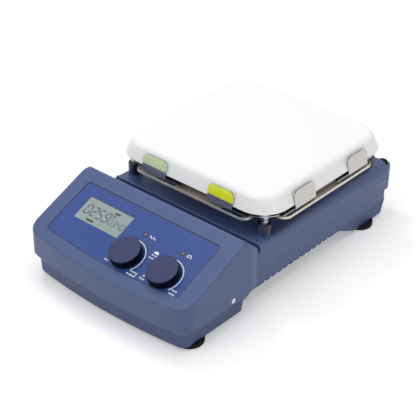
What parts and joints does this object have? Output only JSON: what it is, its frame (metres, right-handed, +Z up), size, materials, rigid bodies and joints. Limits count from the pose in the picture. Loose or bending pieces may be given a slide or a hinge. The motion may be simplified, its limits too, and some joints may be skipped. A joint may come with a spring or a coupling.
{
  "type": "hotplate stirrer",
  "caption": "Hotplate stirrer: a white square heated plate on a low blue housing, with a sloped control panel in front that has a display and rotary push knobs.",
  "frame": {"origin": "on the table, under the middle of the outline seen from above", "axes": "+Z up, +Y from the control panel to the rear, +X to the right of someone facing the controls"},
  "size_m": [0.214, 0.36, 0.112],
  "materials": {
    "housing_paint": "satin",
    "base_plastic": "matte",
    "overlay_film": "satin",
    "lcd_face": "gloss",
    "lcd_glass": "polished",
    "white_plastic": "matte",
    "circuit_board": "satin",
    "steel_screw": "bright",
    "encoder_metal": "satin",
    "dark_plastic": "matte",
    "shaft_steel": "polished",
    "knob_plastic": "satin",
    "lamp_red": "gloss",
    "lamp_green": "gloss",
    "foot_rubber": "matte",
    "plate_ceramic": "glazed white",
    "core_metal": "machined",
    "element_foil": "satin",
    "mat_fibre": "matt fibre",
    "stainless": "bright rolled",
    "film_pale": "gloss",
    "film_yellow": "gloss",
    "lead_sleeve": "woven sleeve",
    "probe_steel": "satin",
    "motor_steel": "satin",
    "holder_metal": "machined",
    "magnet_nickel": "nickel plated",
    "contact_brass": "bright",
    "fuse_glass": "clear",
    "rocker_plastic": "gloss",
    "port_metal": "tinned"
  },
  "bodies": {
    "housing": {"upper_housing": "housing_paint", "base_tray": "base_plastic", "control_overlay": "overlay_film", "display_window": "lcd_face", "display_glass": "lcd_glass", "display_backlight": "white_plastic", "control_board": "circuit_board", "power_board": "circuit_board", "board_screws": "steel_screw", "base_screws": "steel_screw", "side_screws": "steel_screw", "foot_screws": "steel_screw", "cover_screws": "steel_screw", "bracket_screws": "steel_screw", "power_screws": "steel_screw", "post_nuts": "steel_screw", "heat_encoder": "encoder_metal", "stir_encoder": "encoder_metal", "terminal_block": "dark_plastic", "power_parts": "dark_plastic", "mains_inlet": "dark_plastic", "switch_body": "dark_plastic", "sensor_socket": "dark_plastic", "motor_bearing": "shaft_steel", "heat_lamp": "lamp_red", "stir_lamp": "lamp_green", "rubber_feet": "foot_rubber", "deck_grommet": "foot_rubber", "heating_plate": "plate_ceramic", "plate_core": "core_metal", "motor_bracket": "core_metal", "heating_element": "element_foil", "insulation_mat": "mat_fibre", "clip_frame": "stainless", "heat_shield_tray": "stainless", "rotor_cover": "stainless", "plate_posts": "stainless", "post_spacers": "stainless", "tab_film_left": "film_pale", "tab_film_right": "film_yellow", "heater_leads": "lead_sleeve", "temperature_probe": "probe_steel", "motor_body": "motor_steel", "power_transformer": "motor_steel", "inlet_pins": "contact_brass", "serial_port": "port_metal"},
    "heat_button": {"heat_plunger": "dark_plastic"},
    "heat_dial": {"heat_shaft": "shaft_steel", "heat_knob": "knob_plastic"},
    "stir_button": {"stir_plunger": "dark_plastic"},
    "stir_dial": {"stir_shaft": "shaft_steel", "stir_knob": "knob_plastic"},
    "rotor": {"motor_shaft": "shaft_steel", "magnet_holder": "holder_metal", "magnets": "magnet_nickel"},
    "rocker": {"switch_rocker": "rocker_plastic"},
    "fuse_tray": {"fuse_drawer": "dark_plastic", "fuses": "fuse_glass"},
    "plug": {"rod_plug": "foot_rubber"}
  },
  "joints": [
    {"name": "heat_press", "type": "slide", "parent": "housing", "child": "heat_button", "axis": [0, 0.3939, -0.9191], "range_m": [0, 0.0008], "stiffness_N_per_m": 6000, "springref_m": -0.0006},
    {"name": "heat_turn", "type": "hinge", "parent": "heat_button", "child": "heat_dial", "pos_m": [0.0113, -0.14991, 0.06409], "axis": [0, -0.3939, 0.9191], "continuous": true},
    {"name": "stir_press", "type": "slide", "parent": "housing", "child": "stir_button", "axis": [0, 0.3939, -0.9191], "range_m": [0, 0.0008], "stiffness_N_per_m": 6000, "springref_m": -0.0006},
    {"name": "stir_turn", "type": "hinge", "parent": "stir_button", "child": "stir_dial", "pos_m": [0.06, -0.14991, 0.06409], "axis": [0, -0.3939, 0.9191], "continuous": true},
    {"name": "rotor_spin", "type": "hinge", "parent": "housing", "child": "rotor", "pos_m": [0, 0.051, 0.06], "axis": [0, 0, 1], "continuous": true},
    {"name": "mains_rocker", "type": "hinge", "parent": "housing", "child": "rocker", "pos_m": [-0.014, 0.1618, 0.042], "axis": [1, 0, 0], "range_deg": [0, 24]},
    {"name": "fuse_slide", "type": "slide", "parent": "housing", "child": "fuse_tray", "axis": [0, 1, 0], "range_m": [0, 0.018]},
    {"name": "plug_lift", "type": "slide", "parent": "housing", "child": "plug", "axis": [0, 0, 1], "range_m": [0, 0.014]}
  ]
}
